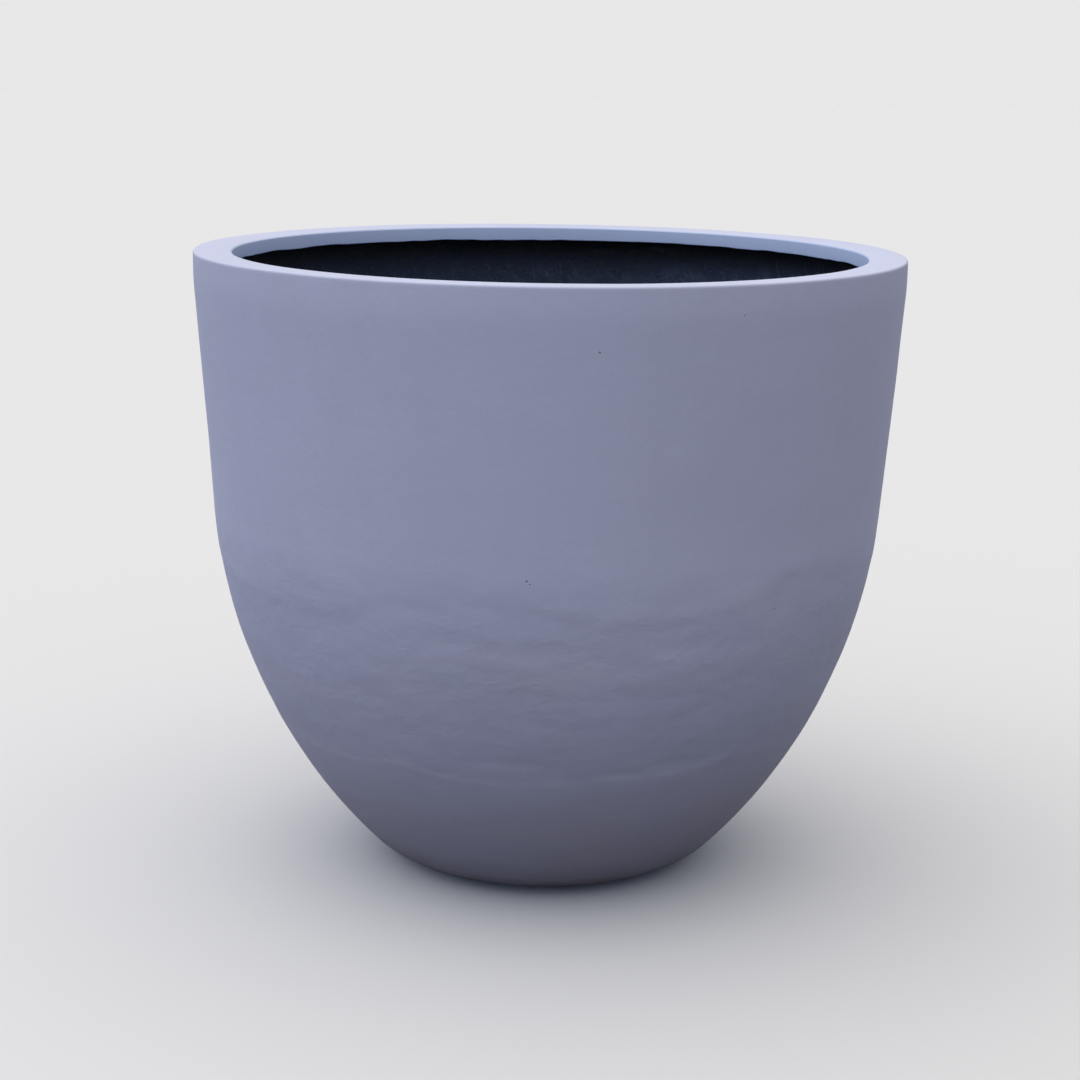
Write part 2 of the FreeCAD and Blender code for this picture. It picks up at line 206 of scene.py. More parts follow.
def turned(name, section, steps, around=(0, 0)):
    """Draw a section of (radius, height) points edge by edge and spin it about an upright axis."""
    bpy.ops.object.select_all(action="DESELECT")
    bpy.ops.mesh.primitive_plane_add(size=0.01)
    piece = bpy.context.active_object
    piece.name = name
    piece.data.name = name
    bpy.ops.object.mode_set(mode="EDIT")
    bpy.ops.mesh.select_mode(type="VERT")
    bpy.ops.mesh.select_all(action="SELECT")
    bpy.ops.mesh.merge(type="CENTER")
    bpy.ops.transform.translate(value=(around[0] + section[0].x, around[1], section[0].y))
    for point, after in zip(section, section[1:]):
        move = after - point
        bpy.ops.mesh.extrude_vertices_move(TRANSFORM_OT_translate={"value": (move.x, 0, move.y)})
    bpy.ops.mesh.select_all(action="SELECT")
    sector = math.tau / SECTORS
    bpy.ops.mesh.spin(steps=steps // SECTORS, angle=sector, center=(*around, 0), axis=(0, 0, 1))
    bpy.ops.mesh.select_all(action="SELECT")
    rest = math.tau - sector
    bpy.ops.mesh.spin(steps=SECTORS - 1, angle=rest, dupli=True, center=(*around, 0), axis=(0, 0, 1))
    bpy.ops.mesh.select_all(action="SELECT")
    bpy.ops.mesh.remove_doubles(threshold=MERGE_DISTANCE)
    bpy.ops.mesh.normals_make_consistent(inside=False)
    bpy.ops.object.mode_set(mode="OBJECT")
    return piece


def apply_modifier(piece, modifier):
    make_active(piece)
    bpy.ops.object.modifier_apply(modifier=modifier.name)


def drain_cutter():
    """Four upright cutters, one for each drain hole through the base."""
    bpy.ops.object.select_all(action="DESELECT")
    bpy.ops.mesh.primitive_cylinder_add(vertices=64, radius=DRAIN_HOLE, depth=0.1,
                                        location=(DRAIN_CIRCLE, 0, 0.02))
    cutter = bpy.context.active_object
    bpy.ops.object.transform_apply()
    bpy.ops.object.mode_set(mode="EDIT")
    bpy.ops.mesh.select_all(action="SELECT")
    turn = math.tau * (DRAIN_COUNT - 1) / DRAIN_COUNT
    bpy.ops.mesh.spin(steps=DRAIN_COUNT - 1, angle=turn, dupli=True, center=(0, 0, 0), axis=(0, 0, 1))
    bpy.ops.object.mode_set(mode="OBJECT")
    return cutter


def cut_drains(piece, cutter):
    cut = piece.modifiers.new("drains", "BOOLEAN")
    cut.operation = "DIFFERENCE"
    cut.object = cutter
    cut.solver = "EXACT"
    apply_modifier(piece, cut)


def ease(value, start, end):
    """Rises smoothly from 0 at start to 1 at end."""
    share = min(max((value - start) / (end - start), 0), 1)
    return share * share * (3 - 2 * share)


def hump(value, middle, width):
    """A smooth rise and fall, 1 at the middle."""
    return math.exp(-((value - middle) / width) ** 2)


def along(path, angle):
    """Height and strength of a hand-faired line at an angle round the pot."""
    for (first, *start), (last, *end) in zip(path, path[1:]):
        if angle <= last:
            share = ease(angle, first, last)
            return [low + (high - low) * share for low, high in zip(start, end)]
    return path[-1][1:]


def around_gap(angle, other):
    """Difference of two angles in degrees, the short way round."""
    return (angle - other + 180) % 360 - 180


def weigh(piece, name, facing, rule):
    """Weights for one skin of a piece, the one that faces out or in, from each point's angle and height."""
    group = piece.vertex_groups.new(name=name)
    for point in piece.data.vertices:
        across = point.co.x * point.normal.x + point.co.y * point.normal.y
        if across * facing < 0.2 * point.co.xy.length:
            continue
        angle = math.degrees(math.atan2(point.co.x, -point.co.y))
        weight = rule(angle, point.co.z)
        if weight > 0.001:
            group.add([point.index], min(weight, 1), "REPLACE")


def push(piece, group, amount, lump=None, direction="NORMAL", middle=0.5):
    """Move a group's points evenly, or by a cloud of lumps of the given width, depth and height."""
    shove = piece.modifiers.new(group, "DISPLACE")
    shove.vertex_group = group
    shove.strength = amount
    shove.direction = direction
    shove.mid_level = 0
    if lump is None:
        apply_modifier(piece, shove)
        return
    bpy.ops.object.select_all(action="DESELECT")
    bpy.ops.object.empty_add(location=(0.137, 0.291, 0.053))
    guide = bpy.context.active_object
    guide.scale = lump
    bpy.context.view_layer.update()
    cloud = bpy.data.textures.new(f"{group}_cloud", "CLOUDS")
    cloud.noise_scale = 1
    cloud.noise_depth = 2
    shove.texture = cloud
    shove.texture_coords = "OBJECT"
    shove.texture_coords_object = guide
    shove.mid_level = middle
    apply_modifier(piece, shove)
    bpy.data.objects.remove(guide)
    bpy.data.textures.remove(cloud)


def copies(piece, stem, count):
    """Copies of a piece round the pot, each with its own mesh, numbered after the first."""
    pieces = [piece]
    for index in range(1, count):
        make_active(piece)
        bpy.ops.object.duplicate(linked=False)
        copy = bpy.context.active_object
        copy.name = f"{stem}_{index + 1}"
        copy.data.name = copy.name
        copy.rotation_euler.z = math.tau * index / count
        bpy.ops.object.transform_apply()
        pieces.append(copy)
    return pieces


def settle(piece, finish, body, node):
    """Smooth a finished piece, give it its finish and let it stand for its CAD node."""
    make_active(piece)
    bpy.ops.object.shade_smooth_by_angle(angle=CREASE)
    piece.vertex_groups.clear()
    piece.data.materials.clear()
    piece.data.materials.append(finish)
    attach(piece, body)
    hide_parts(node)


# Finishes

class Value:
    """A socket of a finish. Arithmetic on it adds Math nodes, and node() adds any other node."""

    def __init__(self, tree, socket):
        self.tree = tree
        self.socket = socket

    def node(self, kind, settings=None, sockets=None, output=0):
        made = self.tree.nodes.new(kind)
        for name, setting in (settings or {}).items():
            setattr(made, name, setting)
        for name, value in (sockets or {}).items():
            if isinstance(value, Value):
                self.tree.links.new(value.socket, made.inputs[name])
            else:
                made.inputs[name].default_value = value
        return Value(self.tree, made.outputs[output] if len(made.outputs) else None)

    def other(self, output):
        """Another output of the same node."""
        return Value(self.tree, self.socket.node.outputs[output])

    def maths(self, operation, *values):
        return self.node("ShaderNodeMath", {"operation": operation}, dict(enumerate(values)))

    def __add__(self, other):
        return self.maths("ADD", self, other)

    def __sub__(self, other):
        return self.maths("SUBTRACT", self, other)

    def __rsub__(self, other):
        return self.maths("SUBTRACT", other, self)

    def __mul__(self, other):
        return self.maths("MULTIPLY", self, other)

    __radd__ = __add__
    __rmul__ = __mul__

    def larger(self, other):
        return self.maths("MAXIMUM", self, other)

    def rise(self, start, end):
        """A smooth step from 0 at start to 1 at end."""
        low, high, first, last = (start, end, 0.0, 1.0) if start < end else (end, start, 1.0, 0.0)
        return self.node("ShaderNodeMapRange", {"interpolation_type": "SMOOTHSTEP"},
                         {"Value": self, "From Min": low, "From Max": high, "To Min": first, "To Max": last})


def new_finish(name):
    """A new material, and the place on the piece that its pattern reads."""
    material = bpy.data.materials.new(name)
    material.use_nodes = True
    tree = material.node_tree
    tree.nodes.clear()
    return material, Value(tree, None).node("ShaderNodeTexCoord", output="Object")


def parts_of(where):
    across = where.node("ShaderNodeSeparateXYZ", None, {"Vector": where}, "X")
    return across, across.other("Y"), across.other("Z")


def stretched(where, amounts):
    return where.node("ShaderNodeVectorMath", {"operation": "MULTIPLY"}, {0: where, 1: amounts})


def leaned(where, turns):
    return where.node("ShaderNodeMapping", {"vector_type": "POINT"}, {"Vector": where, "Rotation": turns})


def noise(where, scale, detail=2.0, distortion=0.0):
    return where.node("ShaderNodeTexNoise", None, {"Vector": where, "Scale": scale, "Detail": detail,
                                                   "Distortion": distortion})


def blend(share, first, second):
    """One colour into another."""
    return share.node("ShaderNodeMix", {"data_type": "RGBA"}, {0: share, 6: first, 7: second}, 2)


def toned(colour, tone):
    """A colour made lighter or darker."""
    return tone.node("ShaderNodeVectorMath", {"operation": "SCALE"}, {0: colour, "Scale": tone})


def near(where, angle, height, radius, size):
    """A soft spot round one point of the outside."""
    turn = math.radians(angle)
    spot = (radius * math.sin(turn), -radius * math.cos(turn), height)
    gap = where.node("ShaderNodeVectorMath", {"operation": "DISTANCE"}, {0: where, 1: spot}, "Value")
    return gap.rise(size, size * 0.4)


def close_finish(where, colour, roughness, height, depth, **fixed):
    """Shader and output of a finish. Its height field is given in parts of the bump's depth."""
    relief = where.node("ShaderNodeBump", None, {"Height": height, "Distance": depth, "Strength": 1.0})
    sockets = {"Base Color": colour, "Roughness": roughness, "Normal": relief}
    sockets.update({name.replace("_", " "): value for name, value in fixed.items()})
    shader = where.node("ShaderNodeBsdfPrincipled", None, sockets)
    where.node("ShaderNodeOutputMaterial", None, {"Surface": shader})


def matte_paint():
    """Lavender-grey wall paint over faired laminate, with painted blue sky light on the apron.

    It has mottling, scrub marks, pinholes and scuffs, painted warm bounce light low down and painted shade
    near the ground.
    """
    material, where = new_finish("matte_grey_paint")
    height = parts_of(where)[2]
    belly = height.rise(0.6, 0.47)
    broad = noise(where, 2.4, 2.0)
    patches = noise(stretched(where, (1, 1, 2.4)), 8.0, 4.0, 0.5)
    smears = noise(stretched(where, (1, 1, 3.2)), 21.0, 3.0, 1.2)
    scrub = noise(stretched(leaned(where, (0.1, 0.15, 0)), (1, 1, 0.16)), 46.0, 3.0, 0.4)
    grain = noise(where, 380.0, 2.0)
    tone = 0.985 + (broad - 0.5) * 0.1 + (patches - 0.5) * (0.05 + belly * 0.04) + (grain - 0.5) * 0.05
    tone = tone + (smears - 0.5) * (0.04 + belly * 0.03) + (scrub - 0.5) * (0.045 - belly * 0.02)
    # Warm random patches, plus painted warm bounce light that grows over the belly and towards the ground.
    warm_and_bounce = noise(stretched(where, (1, 1, 2)), 5.0, 3.0, 0.8).rise(0.45, 0.75) * (0.1 + belly * 0.25)
    warm_and_bounce = warm_and_bounce + height.rise(0.4, 0.05) * 0.4
    colour = blend(warm_and_bounce, (0.605, 0.65, 0.85, 1), (0.63, 0.65, 0.77, 1))
    # Painted sky light: the apron's paint is tinted bluer, standing for the blue light from overhead that
    # falls on it.
    level = stretched(where, (1, 1, 0))
    radius = where.node("ShaderNodeVectorMath", {"operation": "LENGTH"}, {0: level}, "Value")
    apron = radius.rise(MOUTH_RADIUS + RIM_EDGE_ROUND, MOUTH_RADIUS + 0.001) * height.rise(0.93, 0.94)
    colour = blend(apron, colour, (0.54, 0.65, 0.9, 1))
    pits = where.node("ShaderNodeTexVoronoi", None, {"Vector": where, "Scale": 15.0})
    pinholes = pits.rise(0.02, 0.009) * parts_of(pits.other("Color"))[0].rise(0.6, 0.62)
    for spot in ((7.1, 0.881, 0.5464, 0.0018), (-2.8, 0.563, 0.5233, 0.0021), (-2.3, 0.559, 0.523, 0.0013)):
        pinholes = pinholes.larger(near(where, *spot))
    scratch = noise(stretched(leaned(where, (0.5, 0.9, 0.2)), (1, 1, 0.07)), 120.0, 1.0).rise(0.71, 0.78)
    scuffs = scratch * noise(where, 3.1, 2.0).rise(0.56, 0.7)
    colour = blend(scuffs * 0.22, colour, (0.72, 0.73, 0.8, 1))
    colour = blend(pinholes * 0.5, toned(colour, tone), (0.08, 0.08, 0.1, 1))
    # Painted shade: the paint is darkened towards the ground, unevenly through the patches, and darker still
    # at the foot.
    painted_low_shade = height.rise(0.3, 0.02) * (0.12 + patches * 0.36)
    colour = blend(painted_low_shade, colour, (0.45, 0.41, 0.43, 1))
    painted_foot_shade = height.rise(0.085, 0.012) * (0.3 + patches * 0.5)
    colour = blend(painted_foot_shade, colour, (0.28, 0.265, 0.27, 1))
    roughness = 0.68 + (patches - 0.5) * 0.16 - scuffs * 0.1
    dimples = noise(stretched(leaned(where, (0.2, 0.3, 0)), (1, 1, 1.6)), 26.0, 3.0, 0.9) * belly
    relief = noise(where, 240.0, 2.0) * 0.25 + noise(where, 70.0, 2.0) * 0.5 + scrub * 0.2 - pinholes * 2.0
    relief = relief + dimples * 1.3
    close_finish(where, colour, roughness, relief, 0.0006, Specular_IOR_Level=0.16)
    return material


def black_laminate():
    """Black gel coat over chopped-strand mat: random fibres, resin runs, dust and two wiped smears, with
    painted shade under the rim and painted light towards +X.
    """
    material, where = new_finish("black_strand_laminate")
    across, _, height = parts_of(where)
    strands = noise(stretched(leaned(where, (0.3, 0.2, 0.1)), (1, 1, 0.1)), 190.0, 2.0, 0.6)
    for turns in ((1.25, 0.4, 0.9), (2.1, 1.0, 0.3), (0.7, 2.2, 1.7), (1.7, 2.9, 0.6)):
        strands = strands.larger(noise(stretched(leaned(where, turns), (1, 1, 0.1)), 190.0, 2.0, 0.6))
    fibres = strands.rise(0.58, 0.76)
    pools = noise(where, 16.0, 3.0, 0.4)
    runs = noise(stretched(where, (1, 1, 0.09)), 34.0, 3.0, 0.5).rise(0.56, 0.72) * height.rise(0.75, 0.6)
    dust = noise(where, 22.0, 5.0, 0.3).rise(0.4, 0.75)
    colour = blend(fibres, (0.012, 0.0185, 0.034, 1), (0.028, 0.041, 0.07, 1))
    colour = blend(dust * 0.16, toned(colour, 0.7 + pools * 0.6 - runs * 0.25), (0.085, 0.11, 0.16, 1))
    # Painted shade and light: the lining is darkened just under the rim, where the rim shades it, and
    # lightened towards +X, where the light from the left falls on it.
    colour = toned(colour, (0.25 + height.rise(0.935, 0.87) * 1.95) * (0.93 + across.rise(0.08, 0.42) * 0.6))
    for angle, level, size in ((170.3, 0.9225, 0.032), (159.3, 0.9305, 0.03)):
        smear = near(stretched(where, (1, 1, 5)), angle, level * 5, LINER_RADIUS - 0.0015, size)
        colour = blend(smear * (0.25 + fibres), colour, (0.042, 0.052, 0.072, 1))
    roughness = 0.52 + dust * 0.16 - fibres * 0.08 + (pools - 0.5) * 0.2 - runs * 0.14
    relief = fibres * 0.6 + pools * 1.2 + runs * 0.8 + noise(where, 45.0, 2.0) * 0.6
    close_finish(where, colour, roughness, relief, 0.0012, Specular_IOR_Level=0.22)
    return material


def bonding_paste():
    """Grey-green filler paste with knife marks and trapped air."""
    material, where = new_finish("bonding_paste")
    drag = noise(stretched(where, (1, 1, 3)), 60.0, 3.0, 0.6)
    air = where.node("ShaderNodeTexVoronoi", None, {"Vector": where, "Scale": 160.0}).rise(0.22, 0.1)
    clouds = noise(where, 18.0, 3.0)
    colour = blend(clouds, (0.19, 0.21, 0.19, 1), (0.3, 0.32, 0.29, 1))
    colour = toned(colour, 0.85 + drag * 0.3 - air * 0.3)
    close_finish(where, colour, 0.6 + drag * 0.2, drag * 0.8 - air * 0.6, 0.001)
    return material


def plywood():
    """Birch ply: long grain on its faces and dark glue lines between the plies at its edge."""
    material, where = new_finish("birch_plywood")
    height = parts_of(where)[2]
    grain = noise(stretched(where, (1, 0.06, 1)), 130.0, 4.0, 0.8)
    figure = noise(stretched(where, (1, 0.12, 1)), 16.0, 3.0, 1.5)
    plies = 7
    ply = where.maths("SINE", (height - LINER_FLOOR) * (math.tau * plies / (BOARD_TOP - LINER_FLOOR)))
    glue = ply.rise(0.75, 0.98)
    colour = blend(figure, (0.5, 0.34, 0.19, 1), (0.66, 0.49, 0.31, 1))
    colour = blend(glue * 0.6, toned(colour, 0.8 + grain * 0.4), (0.16, 0.09, 0.05, 1))
    close_finish(where, colour, 0.62 + grain * 0.15, grain * 0.7 - glue * 0.3, 0.0004)
    return material


def sleeve_plastic():
    """Dark grey moulded drain sleeve with a fine matt grain and a film of silt."""
    material, where = new_finish("grey_moulded_plastic")
    grain = noise(where, 1500.0, 2.0)
    silt = noise(where, 60.0, 4.0, 0.5).rise(0.5, 0.7)
    colour = blend(silt * 0.3, (0.05, 0.052, 0.056, 1), (0.16, 0.14, 0.11, 1))
    colour = toned(colour, 0.9 + grain * 0.2)
    close_finish(where, colour, 0.42 + silt * 0.25, grain * 0.5, 0.0002)
    return material


def plug_rubber():
    """Soft black stopper rubber with bloom and rubbed high spots."""
    material, where = new_finish("black_stopper_rubber")
    bloom = noise(where, 70.0, 4.0, 0.4)
    speck = noise(where, 1100.0, 2.0)
    colour = blend(bloom.rise(0.45, 0.75) * 0.7, (0.022, 0.022, 0.024, 1), (0.075, 0.075, 0.078, 1))
    colour = toned(colour, 0.85 + speck * 0.3)
    close_finish(where, colour, 0.62 + bloom * 0.2, speck * 0.5 + bloom * 0.5, 0.0002)
    return material


def pad_rubber():
    """Hard ribbed pad rubber with ground dust worked into it."""
    material, where = new_finish("ribbed_pad_rubber")
    dust = noise(where, 50.0, 4.0, 0.6).rise(0.42, 0.7)
    crumb = noise(where, 800.0, 3.0)
    colour = blend(dust * 0.4, (0.02, 0.02, 0.021, 1), (0.13, 0.115, 0.095, 1))
    colour = toned(colour, 0.8 + crumb * 0.4)
    close_finish(where, colour, 0.75 + crumb * 0.15, crumb, 0.0003)
    return material


# Pieces

def belly_lumps(_angle, height):
    """The belly, with less of it below the step and none at the base."""
    return ease(height, 0.6, 0.53) * (0.35 + 0.65 * ease(height, 0.19, 0.27)) * ease(height, 0.02, 0.12)


def upper_waves(_angle, height):
    """All of the wall but its top and its base."""
    return ease(height, 0.88, 0.78) * ease(height, 0.02, 0.15)


def fold_hollow(angle, height):
    """The scraped band below the upper fold, broken along its length."""
    level, strength = along(UPPER_FOLD, angle)
    below = level - height
    turn = math.radians(angle)
    broken = 0.62 + 0.38 * math.sin(11 * turn + 0.6) * math.sin(29 * turn)
    return strength * broken * ease(below, -0.013, 0.009) * ease(below, 0.08, 0.012)


def fold_lip(angle, height):
    """The slight swelling above the upper fold."""
    level, strength = along(UPPER_FOLD, angle)
    return strength * hump(height, level + 0.018, 0.014)


def step_ledge(angle, height):
    """The edge of the lower step, fading out downward."""
    level, strength = along(LOWER_STEP, angle)
    below = level - height
    turn = math.radians(angle)
    broken = 0.75 + 0.25 * math.sin(9 * turn + 0.6) * math.sin(23 * turn + 0.5)
    return strength * broken * ease(below, -0.004, 0.004) * ease(below, 0.12, 0.008)


def hollows(angle, height):
    return max(depth * hump(around_gap(angle, middle), 0, wide) * hump(height, level, tall)
               for middle, level, wide, tall, depth in HOLLOWS)


def painted_shell(cutter):
    """The outer laminate, faired by hand below the middle, as the photo shows."""
    skin = wall_line(0, 0.0048) + wall_line(SHELL_THICKNESS, 0.03)[::-1]
    shell = turned("painted_shell", skin, WALL_STEPS)
    cut_drains(shell, cutter)
    for rule in (upper_waves, belly_lumps, fold_hollow, fold_lip, step_ledge, hollows):
        weigh(shell, rule.__name__, 1, rule)
    push(shell, "upper_waves", 0.003, (0.5, 0.5, 0.3))
    push(shell, "belly_lumps", 0.0013, (0.15, 0.15, 0.085))
    push(shell, "belly_lumps", 0.0012, (0.06, 0.06, 0.045))
    push(shell, "fold_hollow", -0.0009)
    push(shell, "fold_lip", 0.0003)
    push(shell, "step_ledge", 0.0006)
    push(shell, "hollows", -0.0007)
    return shell


def painted_rim():
    """The coping, with its apron cut off by hand at the foot."""
    apron_back = MOUTH_RADIUS + APRON_THICKNESS
    mouth_top = OVERALL_HEIGHT - RIM_FALL
    corners = [
        (TOP_RADIUS, RIM_UNDERSIDE, 0),
        (TOP_RADIUS, OVERALL_HEIGHT, RIM_EDGE_ROUND),
        (MOUTH_RADIUS, mouth_top, RIM_EDGE_ROUND),
        (MOUTH_RADIUS, mouth_top - 0.012, 0),
        (MOUTH_RADIUS, APRON_FOOT, APRON_EDGE_ROUND),
        (apron_back, APRON_FOOT, APRON_EDGE_ROUND),
        (apron_back, RIM_UNDERSIDE, RIM_CORNER_ROUND),
    ]
    section = rounded(corners)
    rim = turned("painted_rim", section + section[:1], WALL_STEPS)
    trimmed = rim.vertex_groups.new(name="trimmed_edge")
    flat = rim.vertex_groups.new(name="top_face")
    for point in rim.data.vertices:
        if point.co.z < APRON_TRIM_TOP:
            trimmed.add([point.index], ease(point.co.z, APRON_TRIM_TOP, APRON_FOOT), "REPLACE")
        elif point.co.z > RIM_UNDERSIDE + 0.004:
            flat.add([point.index], 1, "REPLACE")
    push(rim, "trimmed_edge", 0.0055, (0.09, 0.09, 0.09), "Z")
    push(rim, "top_face", 0.0016, (0.35, 0.35, 0.35), "Z", 1.0)
    return rim


def rough_inside(_angle, height):
    """The lining's inner face, but for its floor and the strip under the rim."""
    return ease(height, 0.03, 0.07) * ease(height, RIM_UNDERSIDE - 0.004, RIM_UNDERSIDE - 0.03)


def mat_laps(angle, height):
    """Double thickness where neighbouring sheets of mat overlap, upright and in one band round the belly."""
    wander = 3.5 * math.sin(height * 13) + 2 * math.sin(height * 31 + 1)
    laps = (-160, -96, -31, 24, 88, 151)
    upright = max(ease(abs(around_gap(angle, lap) + wander), 5.2, 3.6) for lap in laps)
    level = 0.47 + 0.012 * math.sin(math.radians(angle * 3)) + 0.006 * math.sin(math.radians(angle * 11))
    return max(upright, ease(abs(height - level), 0.038, 0.026)) * rough_inside(angle, height)


def black_lining(cutter):
    """The inner laminate, left rough, with its sheets of mat lapped over each other."""
    outside = wall_line(SHELL_THICKNESS, 0.03)
    inside = wall_line(SHELL_THICKNESS + LINER_THICKNESS, 0.0062)
    lining = turned("black_lining", outside + inside[::-1], WALL_STEPS)
    cut_drains(lining, cutter)
    weigh(lining, "mat_laps", -1, mat_laps)
    weigh(lining, "rough_inside", -1, rough_inside)
    push(lining, "mat_laps", 0.0016)
    push(lining, "rough_inside", 0.004, (0.11, 0.11, 0.11))
    push(lining, "rough_inside", 0.0018, (0.03, 0.03, 0.03))
    return lining


def rim_bead():
    """The fillet of paste under the rim, drawn with a rounded stick."""
    corner = Vector((LINER_RADIUS, RIM_UNDERSIDE))
    hollow = corner + Vector((-BEAD_LEG, -BEAD_LEG)) * 1.15
    reach = corner - Vector((BEAD_LEG, 0)) - hollow
    first = math.atan2(reach.y, reach.x)
    section = [corner] + arc(hollow, reach.length, first, math.pi / 2 - first, 0.002)
    bead = turned("rim_bead", section + section[:1], BEAD_STEPS)
    lumps = bead.vertex_groups.new(name="stick_marks")
    for point in bead.data.vertices:
        gap = (Vector((point.co.xy.length, point.co.z)) - hollow).length - reach.length
        clear = min(RIM_UNDERSIDE - point.co.z, LINER_RADIUS - point.co.xy.length)
        if abs(gap) < 0.0003 and clear > 0.001:
            lumps.add([point.index], 1, "REPLACE")
    push(bead, "stick_marks", 0.0035, (0.025, 0.025, 0.025))
    return bead


def base_laminate(cutter):
    """The laminate over the base board, with its edge torn by hand."""
    skirt = BOARD_RADIUS + OVERLAY_THICKNESS
    lap_top = LINER_FLOOR + OVERLAY_THICKNESS
    corners = [
        (0, BOARD_TOP, 0), (BOARD_RADIUS, BOARD_TOP, 0), (BOARD_RADIUS, LINER_FLOOR, 0),
        (OVERLAY_RADIUS, LINER_FLOOR, 0), (OVERLAY_RADIUS, LINER_FLOOR + 0.0012, 0),
        (OVERLAY_RADIUS - 0.009, lap_top, 0.004), (skirt, lap_top, 0.005), (skirt, OVERLAY_TOP, 0.004),
        (0.125, OVERLAY_TOP, 0), (0.075, OVERLAY_TOP, 0), (0, OVERLAY_TOP, 0),
    ]
    laminate = turned("base_laminate", rounded(corners), BASE_STEPS)
    cut_drains(laminate, cutter)
    for point in laminate.data.vertices:
        angle = math.atan2(point.co.y, point.co.x)
        tear = 0.5 + 0.22 * math.sin(5 * angle + 1) + 0.16 * math.sin(13 * angle)
        tear += 0.12 * math.sin(31 * angle + 2)
        reach = ease(point.co.xy.length, skirt + 0.009, OVERLAY_RADIUS)
        point.co.xy *= 1 - 0.012 * tear * reach / OVERLAY_RADIUS
    return laminate


def drain_sleeve():
    """A flanged sleeve with a bevelled bore and two moulded rings on its flange."""
    fine = 0.0002
    groove_floor = FLANGE_TOP - 0.0004
    corners = [
        (DRAIN_BORE, FOOT, 0.0007), (SLEEVE_RADIUS, FOOT, 0.0005), (SLEEVE_RADIUS, OVERLAY_TOP, 0),
        (FLANGE_RADIUS, OVERLAY_TOP, 0.0003), (FLANGE_RADIUS, FLANGE_TOP, 0.001),
    ]
    for radius in (0.0222, 0.0202):
        corners += [(radius, FLANGE_TOP, fine), (radius - 0.0002, groove_floor, fine),
                    (radius - 0.001, groove_floor, fine), (radius - 0.0012, FLANGE_TOP, fine)]
    corners.append((DRAIN_BORE, FLANGE_TOP, 0.0006))
    section = rounded(corners, 4)
    return turned("drain_sleeve_piece_1", section + section[:1], SMALL_STEPS, (DRAIN_CIRCLE, 0))


def stopper():
    """A rubber stopper: grooved stem, domed head and a fluted knob with a dimple."""
    stem = DRAIN_BORE - PLUG_CLEARANCE
    tip = stem - PLUG_TAPER
    head_top = FLANGE_TOP + PLUG_HEAD_THICKNESS
    knob_foot = PLUG_TOP - KNOB_HEIGHT
    dimple_floor = PLUG_TOP - 0.0012
    corners = [(0, PLUG_TIP, 0), (0.007, PLUG_TIP, 0), (tip, PLUG_TIP, 0.002)]
    for share in (0.3, 0.5, 0.7):
        level = PLUG_TIP + (FLANGE_TOP - PLUG_TIP) * share
        radius = tip + (stem - tip) * share
        corners += [(radius, level - 0.0012, 0.0003), (radius - 0.0009, level - 0.0006, 0.0003),
                    (radius - 0.0009, level + 0.0006, 0.0003), (radius, level + 0.0012, 0.0003)]
    corners += [
        (stem, FLANGE_TOP, 0), (PLUG_HEAD_RADIUS, FLANGE_TOP, 0.0005), (PLUG_HEAD_RADIUS, head_top, 0.0022),
        (0.0125, head_top, 0.0004), (0.0118, head_top - 0.0006, 0.0003), (0.0104, head_top - 0.0006, 0.0003),
        (0.0097, head_top, 0.0004), (NECK_RADIUS, head_top, 0.0015), (NECK_RADIUS, knob_foot, 0.0012),
        (KNOB_RADIUS, knob_foot, 0.002), (KNOB_RADIUS, PLUG_TOP, 0.0024), (0.0045, PLUG_TOP, 0.0008),
        (0.003, dimple_floor, 0.0008), (0, dimple_floor, 0),
    ]
    plug = turned("stopper_1", rounded(corners, 4), SMALL_STEPS, (DRAIN_CIRCLE, 0))
    flutes = plug.vertex_groups.new(name="flutes")
    for point in plug.data.vertices:
        spoke = point.co - Vector((DRAIN_CIRCLE, 0, 0))
        if point.co.z > knob_foot + 0.0005 and spoke.xy.length > 0.0066:
            turn = math.atan2(spoke.y, spoke.x)
            flutes.add([point.index], 0.5 + 0.5 * math.cos(12 * turn), "REPLACE")
    push(plug, "flutes", -0.0007)
    return plug


def ribbed_pad():
    """A rubber pad with ring grooves in its tread and a bevelled foot."""
    corners = [(0, 0.001, 0), (0.004, 0.001, 0.0004), (0.0045, 0, 0.0003)]
    for radius in (0.0085, 0.0135, 0.0185, 0.0235):
        corners += [(radius, 0, 0.0003), (radius + 0.0004, 0.0012, 0.0003),
                    (radius + 0.0014, 0.0012, 0.0003), (radius + 0.0018, 0, 0.0003)]
    corners += [(PAD_RADIUS - 0.002, 0, 0.0006), (PAD_RADIUS, 0.002, 0.0008), (PAD_RADIUS, 0.0042, 0.0004),
                (PAD_RADIUS - 0.0006, 0.0046, 0.0003), (PAD_RADIUS - 0.0006, 0.0054, 0.0003),
                (PAD_RADIUS, 0.0058, 0.0004), (PAD_RADIUS, FOOT, 0.0004), (0, FOOT, 0)]
    return turned("ribbed_pad_1", rounded(corners, 4), SMALL_STEPS, (PAD_CIRCLE, 0))


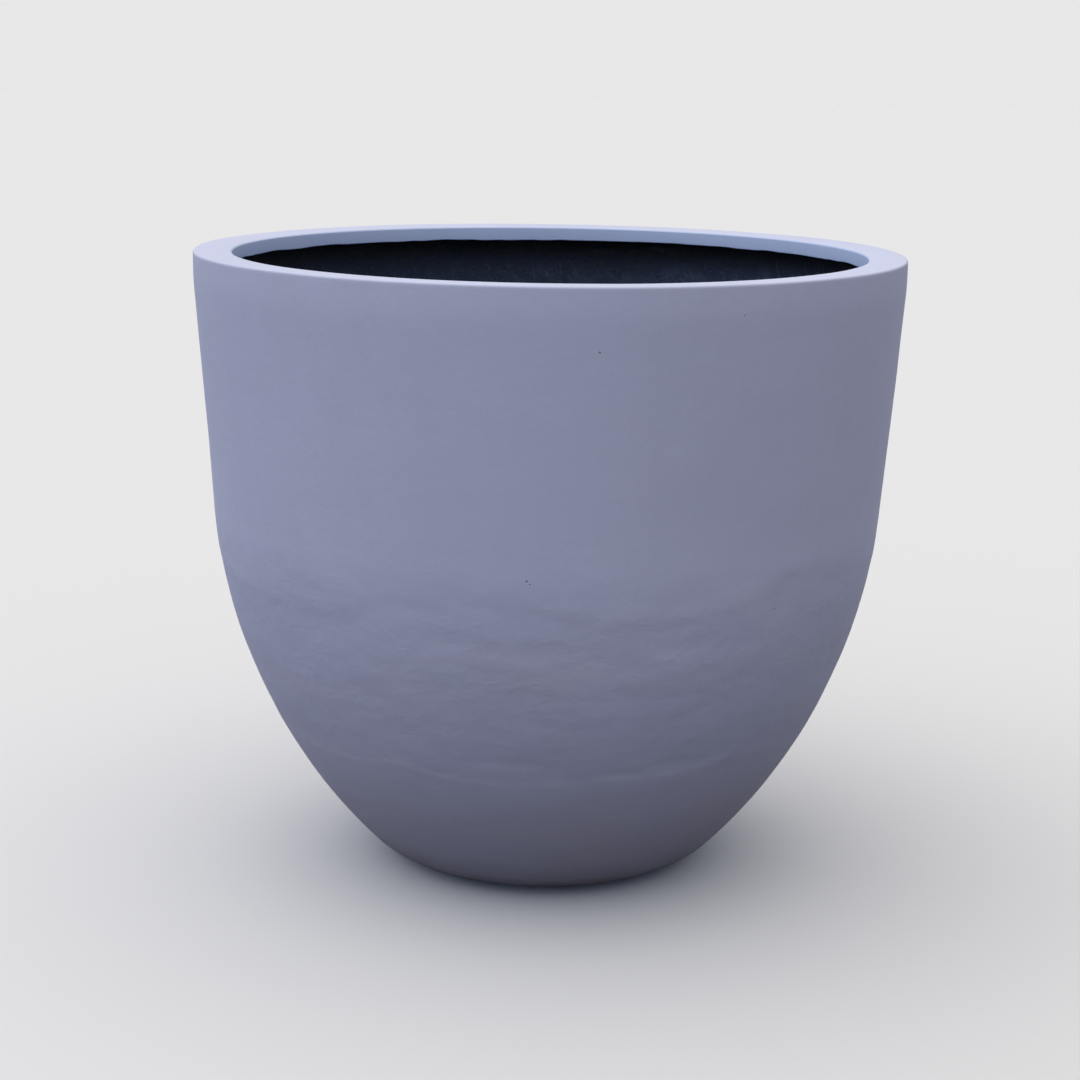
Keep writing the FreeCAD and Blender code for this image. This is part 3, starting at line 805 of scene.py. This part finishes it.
def build_planter():
    """Make every piece, with its finish, in the place of its CAD node. The board keeps its own."""
    paint = matte_paint()
    laminate = black_laminate()
    cutter = drain_cutter()
    settle(painted_shell(cutter), paint, "planter", "outer_shell")
    settle(painted_rim(), paint, "planter", "rim_ring")
    settle(black_lining(cutter), laminate, "planter", "inner_liner")
    settle(base_laminate(cutter), laminate, "planter", "base_overlay")
    settle(rim_bead(), bonding_paste(), "planter", "rim_bond")
    bpy.data.objects.remove(cutter)
    plastic = sleeve_plastic()
    for index, sleeve in enumerate(copies(drain_sleeve(), "drain_sleeve_piece", DRAIN_COUNT), start=1):
        settle(sleeve, plastic, "planter", f"drain_sleeve_{index}")
    rubber = plug_rubber()
    for index, plug in enumerate(copies(stopper(), "stopper", DRAIN_COUNT), start=1):
        settle(plug, rubber, f"plug_{index}", f"drain_plug_{index}")
    tread = pad_rubber()
    for index, pad in enumerate(copies(ribbed_pad(), "ribbed_pad", PAD_COUNT), start=1):
        settle(pad, tread, "planter", f"foot_pad_{index}")
    birch = plywood()
    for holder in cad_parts["base_board"].material_slots:
        holder.material = birch


# Studio

def seen_rays(value):
    """1 for rays that show the background: straight from the camera, in gloss or through glass."""
    camera = value.node("ShaderNodeLightPath", output="Is Camera Ray")
    return camera.larger(camera.other("Is Glossy Ray")).larger(camera.other("Is Transmission Ray"))


def pale_floor():
    """A plain floor, pale to look at, that throws little light back up."""
    bpy.ops.object.select_all(action="DESELECT")
    bpy.ops.mesh.primitive_plane_add(size=120)
    floor = bpy.context.active_object
    floor.name = "studio_floor"
    material, where = new_finish("studio_floor")
    shade = where.node("ShaderNodeBsdfDiffuse", None, {"Color": (0.068, 0.046, 0.03, 1)})
    pale = where.node("ShaderNodeBsdfDiffuse", None, {"Color": (0.755, 0.775, 0.8, 1)})
    shown = where.node("ShaderNodeMixShader", None, {0: seen_rays(where), 1: shade, 2: pale})
    where.node("ShaderNodeOutputMaterial", None, {"Surface": shown})
    floor.data.materials.append(material)


def overhead_light():
    """A broad soft light, strongest overhead and a little from the left, with a plain pale background."""
    world = bpy.data.worlds.new("studio")
    bpy.context.scene.world = world
    world.use_nodes = True
    world.node_tree.nodes.clear()
    direction = Value(world.node_tree, None).node("ShaderNodeTexCoord", output="Generated")
    across, _, up = parts_of(direction)
    level = (0.235 + up.larger(0.0) * 1.18) * (1.0 - across * 0.39)
    tint = blend(up.rise(0.05, 0.85), (0.845, 1.04, 1.58, 1), (1.085, 1.01, 0.885, 1))
    lit = direction.node("ShaderNodeBackground", None, {"Color": tint, "Strength": level})
    pale = direction.node("ShaderNodeBackground", None, {"Color": (0.8, 0.8, 0.8, 1), "Strength": 1.0})
    shown = direction.node("ShaderNodeMixShader", None, {0: seen_rays(direction), 1: lit, 2: pale})
    direction.node("ShaderNodeOutputWorld", None, {"Surface": shown})


def photo_camera():
    """The camera at the photo's place and angle."""
    lens = bpy.data.cameras.new("photo_camera")
    lens.lens = 74.17
    lens.sensor_width = 36
    camera = bpy.data.objects.new("photo_camera", lens)
    bpy.context.scene.collection.objects.link(camera)
    heading = Matrix.Rotation(math.radians(0.1634), 4, "Z")
    pitch = Matrix.Rotation(math.radians(90 - 12.321), 4, "X")
    roll = Matrix.Rotation(math.radians(0.797), 4, "Z")
    camera.matrix_world = Matrix.Translation((0, -3.4783, 1.2672)) @ heading @ pitch @ roll
    bpy.context.scene.camera = camera


build_planter()
pale_floor()
overhead_light()
photo_camera()
bpy.context.scene.view_settings.view_transform = "Standard"
